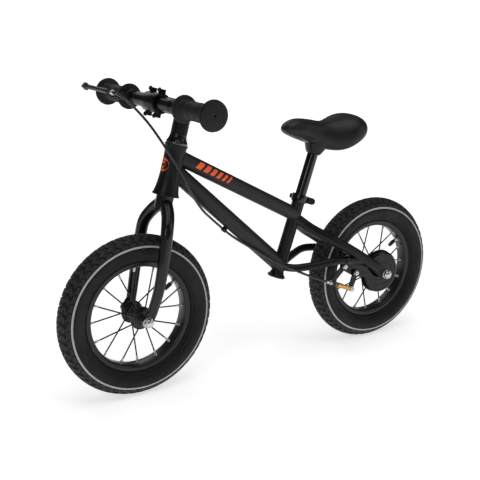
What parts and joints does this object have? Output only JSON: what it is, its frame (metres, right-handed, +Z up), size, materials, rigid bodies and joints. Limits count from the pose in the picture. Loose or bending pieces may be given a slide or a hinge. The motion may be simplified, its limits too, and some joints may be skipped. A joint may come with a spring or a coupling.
{
  "type": "balance bike",
  "caption": "Child's balance bike with wire-spoked pneumatic wheels, straight handlebar, padded saddle on a sliding post, and a hand lever working a rear band brake.",
  "frame": {"origin": "on the ground, midway between the two axles, on the centre plane of the frame", "axes": "+X forward, +Y to the rider's left, +Z up; handlebar straight ahead"},
  "size_m": [0.87, 0.416, 0.5741],
  "materials": {
    "frame_paint": "matte black powder coat",
    "fork_paint": "satin to gloss black paint",
    "post_paint": "gloss black paint",
    "black_bolts": "black oxide",
    "black_plastic": "moulded black",
    "saddle_cover": "smooth black vinyl over foam",
    "rubber_grip": "moulded",
    "tyre": "treaded, with a grey reflective line",
    "inner_rubber": "smooth butyl",
    "rim_paint": "satin black",
    "brake_paint": "gloss black",
    "steel": "plain",
    "chrome": "plated",
    "zinc_yellow": "yellow passivated zinc",
    "cable_cover": "extruded"
  },
  "bodies": {
    "frame": {"head_tube": "frame_paint", "top_tube": "frame_paint", "down_tube": "frame_paint", "seat_tube": "frame_paint", "seat_tube_cap": "black_plastic", "seat_stay_left": "frame_paint", "seat_stay_right": "frame_paint", "chain_stay_left": "frame_paint", "chain_stay_right": "frame_paint", "headset_bearings": "steel", "seat_clamp": "post_paint", "seat_clamp_bolt": "black_bolts", "cable_guide": "frame_paint", "rear_axle": "chrome", "rear_axle_nuts": "chrome", "brake_cover": "brake_paint", "brake_band": "steel", "brake_reaction_arm": "brake_paint", "brake_strap": "brake_paint", "brake_bolts": "chrome", "cable_stop": "zinc_yellow", "rear_cable_barrel": "chrome", "brake_cable_rear": "cable_cover"},
    "steering": {"fork_crown": "fork_paint", "fork_leg_left": "fork_paint", "fork_leg_right": "fork_paint", "headset_cover": "fork_paint", "compression_ring": "chrome", "stem": "fork_paint", "stem_clamp_cap": "fork_paint", "stem_bolts": "black_bolts", "handlebar": "fork_paint", "grip_left": "rubber_grip", "grip_right": "rubber_grip", "brake_lever_bracket": "black_plastic", "lever_bolts": "chrome", "lever_cable_barrel": "chrome", "front_axle": "chrome", "front_axle_nuts": "chrome", "brake_cable_front": "cable_cover"},
    "front_wheel": {"front_tyre": "tyre", "front_inner_tube": "inner_rubber", "front_rim": "rim_paint", "front_spokes": "rim_paint", "front_hub": "rim_paint", "front_hub_bearings": "steel"},
    "rear_wheel": {"rear_tyre": "tyre", "rear_inner_tube": "inner_rubber", "rear_rim": "rim_paint", "rear_spokes": "rim_paint", "rear_hub": "rim_paint", "rear_hub_bearings": "steel", "brake_drum": "brake_paint"},
    "seat": {"seat_post": "post_paint", "saddle_base": "black_plastic", "saddle_pad": "saddle_cover"},
    "brake_lever": {"brake_lever": "black_plastic"},
    "brake_arm": {"brake_arm": "zinc_yellow", "cable_pinch_bolt": "zinc_yellow", "brake_wire": "steel"}
  },
  "joints": [
    {"name": "steering", "type": "hinge", "parent": "frame", "child": "steering", "pos_m": [0.2742, 0, 0.15345], "axis": [-0.2588, 0, 0.9659], "range_deg": [-60, 60], "deforming": ["brake_cable_front"]},
    {"name": "front_wheel_spin", "type": "hinge", "parent": "steering", "child": "front_wheel", "pos_m": [0.28, 0, 0.155], "axis": [0, 1, 0], "continuous": true},
    {"name": "rear_wheel_spin", "type": "hinge", "parent": "frame", "child": "rear_wheel", "pos_m": [-0.28, 0, 0.155], "axis": [0, 1, 0], "continuous": true},
    {"name": "seat_height", "type": "slide", "parent": "frame", "child": "seat", "axis": [-0.3289, 0, 0.9444], "range_m": [-0.08, 0.03]},
    {"name": "brake_lever_pull", "type": "hinge", "parent": "steering", "child": "brake_lever", "pos_m": [0.26406, -0.108, 0.55449], "axis": [0.2588, 0, -0.9659], "range_deg": [0, 9], "stiffness_Nm_per_rad": 1.5, "springref_deg": -5.73},
    {"name": "brake_arm_pull", "type": "hinge", "parent": "frame", "child": "brake_arm", "pos_m": [-0.203, 0.04985, 0.168], "axis": [0, -1, 0], "range_deg": [0, 3.2], "stiffness_Nm_per_rad": 0.5, "springref_deg": -5.73, "deforming": ["brake_wire"]}
  ],
  "couplings": [
    {"joint": "brake_arm_pull", "follows": "brake_lever_pull", "ratio": 0.3219}
  ]
}
